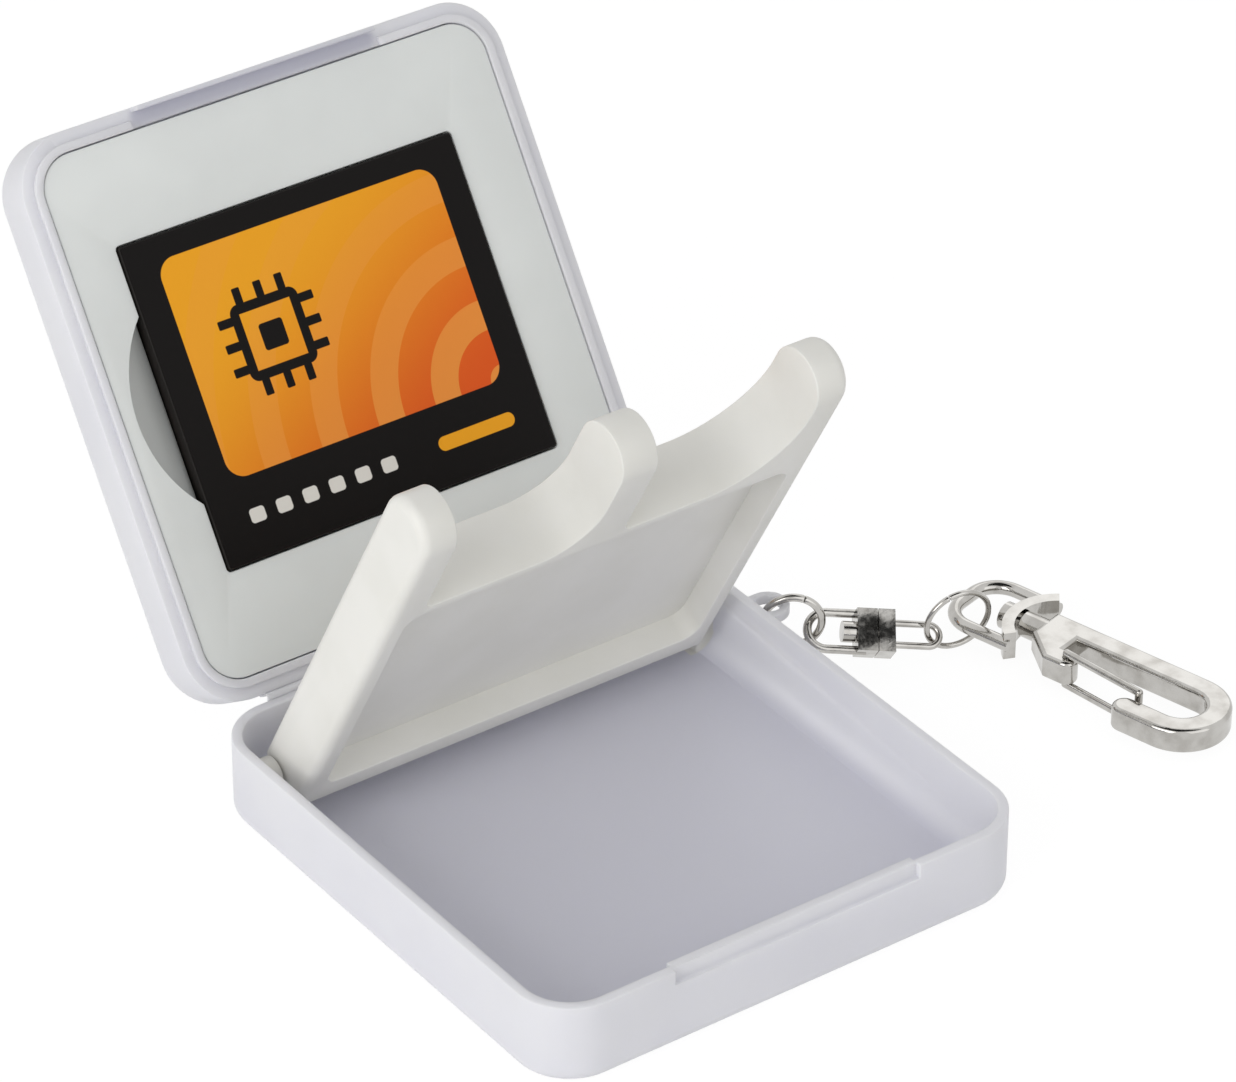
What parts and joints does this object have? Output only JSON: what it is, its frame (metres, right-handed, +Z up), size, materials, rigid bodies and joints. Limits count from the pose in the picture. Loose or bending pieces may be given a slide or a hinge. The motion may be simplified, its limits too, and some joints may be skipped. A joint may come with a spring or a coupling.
{
  "type": "memory card case",
  "caption": "Flat hinged plastic case for memory cards with a swinging card leaf inside and a chain with a snap clasp.",
  "frame": {"origin": "centre of the tray's underside", "axes": "+X along the hinge towards the eyelet, +Y from the latch to the hinge, +Z up"},
  "size_m": [0.0984, 0.1051, 0.064],
  "materials": {
    "frosted_plastic": "frosted, translucent",
    "white_plastic": "satin",
    "card_plastic": "matt",
    "card_metal": "brushed",
    "card_print": "printed, glossy",
    "nickel": "polished"
  },
  "bodies": {
    "base": {"base_shell": "frosted_plastic", "living_hinge": "frosted_plastic"},
    "lid": {"lid_shell": "frosted_plastic", "lid_insert": "white_plastic"},
    "card": {"card_frame": "card_plastic", "card_front_cover": "card_metal", "card_back_cover": "card_metal", "card_connector": "card_plastic", "card_label": "card_print"},
    "leaf": {"card_leaf": "white_plastic"},
    "ring_1": {"chain_ring_1": "nickel"},
    "swivel_a": {"swivel_loop_a": "nickel"},
    "swivel_b": {"swivel_loop_b": "nickel", "swivel_rivet": "nickel"},
    "ring_2": {"chain_ring_2": "nickel"},
    "eye": {"clasp_eye": "nickel"},
    "hook": {"clasp_hook": "nickel", "clasp_pin": "nickel"},
    "gate": {"clasp_gate": "nickel"}
  },
  "joints": [
    {"name": "lid_hinge", "type": "hinge", "parent": "base", "child": "lid", "pos_m": [0, 0.03235, 0.00988], "axis": [-1, 0, 0], "range_deg": [-124, 56], "deforming": ["living_hinge"]},
    {"name": "leaf_hinge", "type": "hinge", "parent": "base", "child": "leaf", "pos_m": [0, 0.02472, 0.00619], "axis": [-1, 0, 0], "range_deg": [-61.5, 27.8]},
    {"name": "card_lift", "type": "slide", "parent": "lid", "child": "card", "axis": [0, -0.829, 0.5592], "range_m": [0, 0.012]},
    {"name": "ring_1_swing", "type": "hinge", "parent": "base", "child": "ring_1", "pos_m": [0.03305, 0.0176, 0.0077], "axis": [0, 0, 1], "range_deg": [-25, 50]},
    {"name": "swivel_tilt", "type": "hinge", "parent": "ring_1", "child": "swivel_a", "pos_m": [0.03672, 0.01519, 0.00466], "axis": [-0.4452, -0.6379, -0.6284], "range_deg": [-20, 40]},
    {"name": "swivel_spin", "type": "hinge", "parent": "swivel_a", "child": "swivel_b", "pos_m": [0.03672, 0.01519, 0.00466], "axis": [0.8717, -0.4693, -0.1411], "continuous": true},
    {"name": "ring_2_swing", "type": "hinge", "parent": "swivel_b", "child": "ring_2", "pos_m": [0.04975, 0.00817, 0.00255], "axis": [-0.4452, -0.6379, -0.6284], "range_deg": [-25, 25]},
    {"name": "eye_turn", "type": "hinge", "parent": "ring_2", "child": "eye", "pos_m": [0.05356, 0.00737, 0.00255], "axis": [0.2588, -0.9659, 0], "range_deg": [-15, 35]},
    {"name": "clasp_spin", "type": "hinge", "parent": "eye", "child": "hook", "pos_m": [0.05952, 0.0029, 0.00255], "axis": [0.2588, -0.9659, 0], "continuous": true},
    {"name": "gate_pivot", "type": "hinge", "parent": "hook", "child": "gate", "pos_m": [0.05725, -0.00485, 0.00255], "axis": [0, 0, 1], "range_deg": [0, 20], "stiffness_Nm_per_rad": 0.002, "springref_deg": -11.46}
  ],
  "couplings": [
    {"joint": "leaf_hinge", "follows": "lid_hinge", "ratio": 0.49597}
  ]
}
